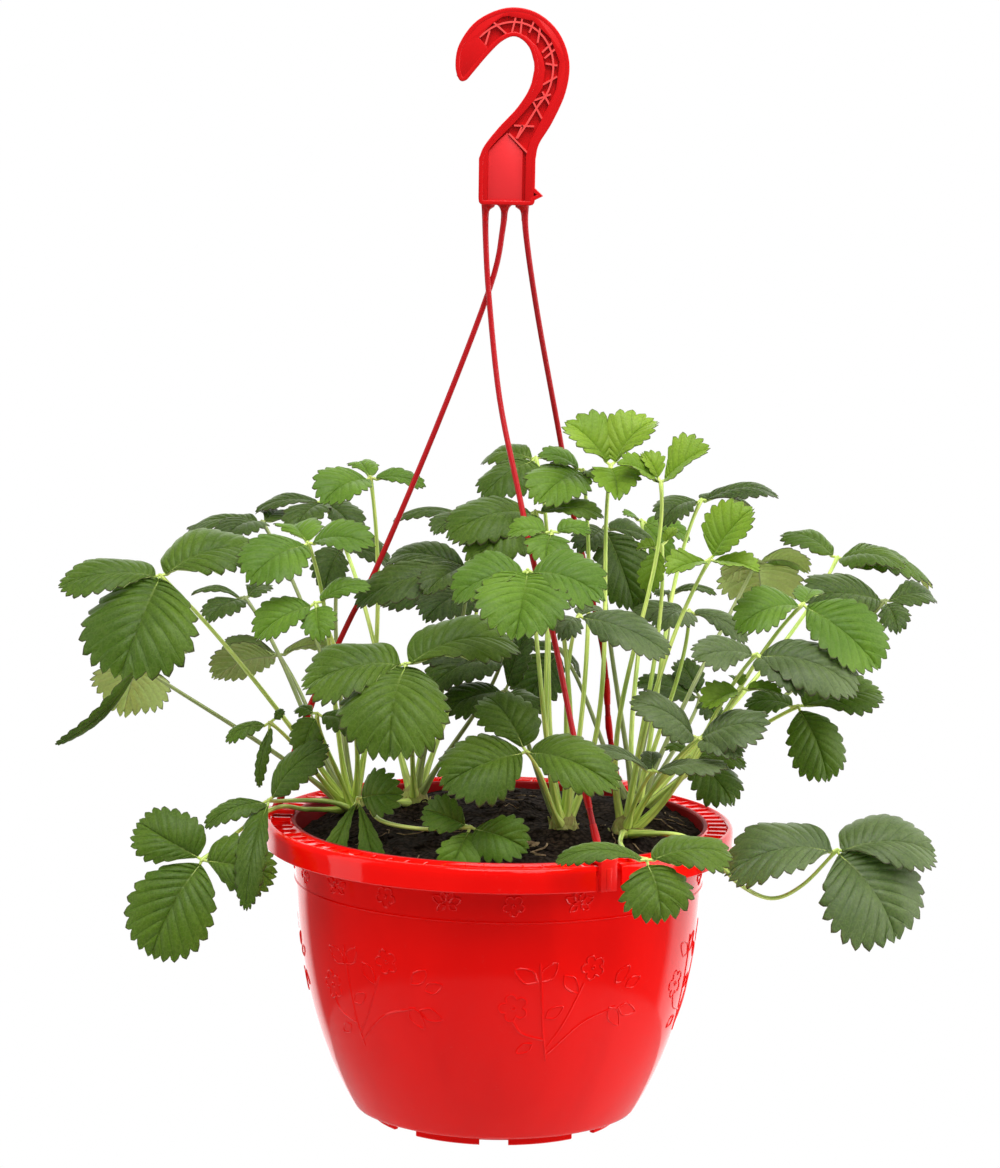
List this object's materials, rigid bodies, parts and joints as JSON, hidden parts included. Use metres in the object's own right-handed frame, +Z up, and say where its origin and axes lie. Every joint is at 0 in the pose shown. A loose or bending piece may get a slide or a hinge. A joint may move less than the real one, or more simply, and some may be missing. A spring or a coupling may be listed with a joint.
{
  "type": "potted strawberry plant",
  "caption": "Strawberry plant of fifty-two three-leaflet leaves in a red plastic hanging pot with a three-arm hook hanger.",
  "frame": {"origin": "the hanging point, inside the top of the hook where a rail or bracket carries it", "axes": "+Z up the hanger's axis, -Y towards the front of the plant, +X to its right seen from the front"},
  "size_m": [0.4826, 0.3055, 0.5887],
  "materials": {
    "pot_plastic": "glossy red moulded plastic",
    "hanger_plastic": "glossy red moulded plastic",
    "soil": "dark moist potting soil",
    "crown": "rough crown tissue with leaf scales",
    "leaf_young": "fresh yellow-green leaf",
    "leaf_mature": "mid-green matt leaf",
    "leaf_dark": "shaded dark green leaf"
  },
  "bodies": {
    "root": {"pot": "pot_plastic", "soil": "soil", "hanger": "hanger_plastic", "crown_left": "crown", "crown_centre": "crown", "crown_front": "crown", "crown_right": "crown", "crown_back": "crown", "leaf_01": "leaf_mature", "leaf_02": "leaf_mature", "leaf_03": "leaf_young", "leaf_04": "leaf_dark", "leaf_05": "leaf_dark", "leaf_06": "leaf_mature", "leaf_07": "leaf_dark", "leaf_08": "leaf_young", "leaf_09": "leaf_dark", "leaf_10": "leaf_dark", "leaf_11": "leaf_mature", "leaf_12": "leaf_mature", "leaf_13": "leaf_mature", "leaf_14": "leaf_young", "leaf_15": "leaf_mature", "leaf_16": "leaf_mature", "leaf_17": "leaf_mature", "leaf_18": "leaf_mature", "leaf_19": "leaf_dark", "leaf_20": "leaf_mature", "leaf_21": "leaf_mature", "leaf_22": "leaf_dark", "leaf_23": "leaf_dark", "leaf_24": "leaf_mature", "leaf_25": "leaf_dark", "leaf_26": "leaf_dark", "leaf_27": "leaf_dark", "leaf_28": "leaf_dark", "leaf_29": "leaf_dark", "leaf_30": "leaf_young", "leaf_31": "leaf_young", "leaf_32": "leaf_dark", "leaf_33": "leaf_young", "leaf_34": "leaf_young", "leaf_35": "leaf_dark", "leaf_36": "leaf_dark", "leaf_37": "leaf_dark", "leaf_38": "leaf_dark", "leaf_39": "leaf_mature", "leaf_40": "leaf_mature", "leaf_41": "leaf_dark", "leaf_42": "leaf_mature", "leaf_43": "leaf_dark", "leaf_44": "leaf_young", "leaf_45": "leaf_mature", "leaf_46": "leaf_mature", "leaf_47": "leaf_mature", "leaf_48": "leaf_mature", "leaf_49": "leaf_mature", "leaf_50": "leaf_mature", "leaf_51": "leaf_dark", "leaf_52": "leaf_dark"}
  },
  "joints": []
}
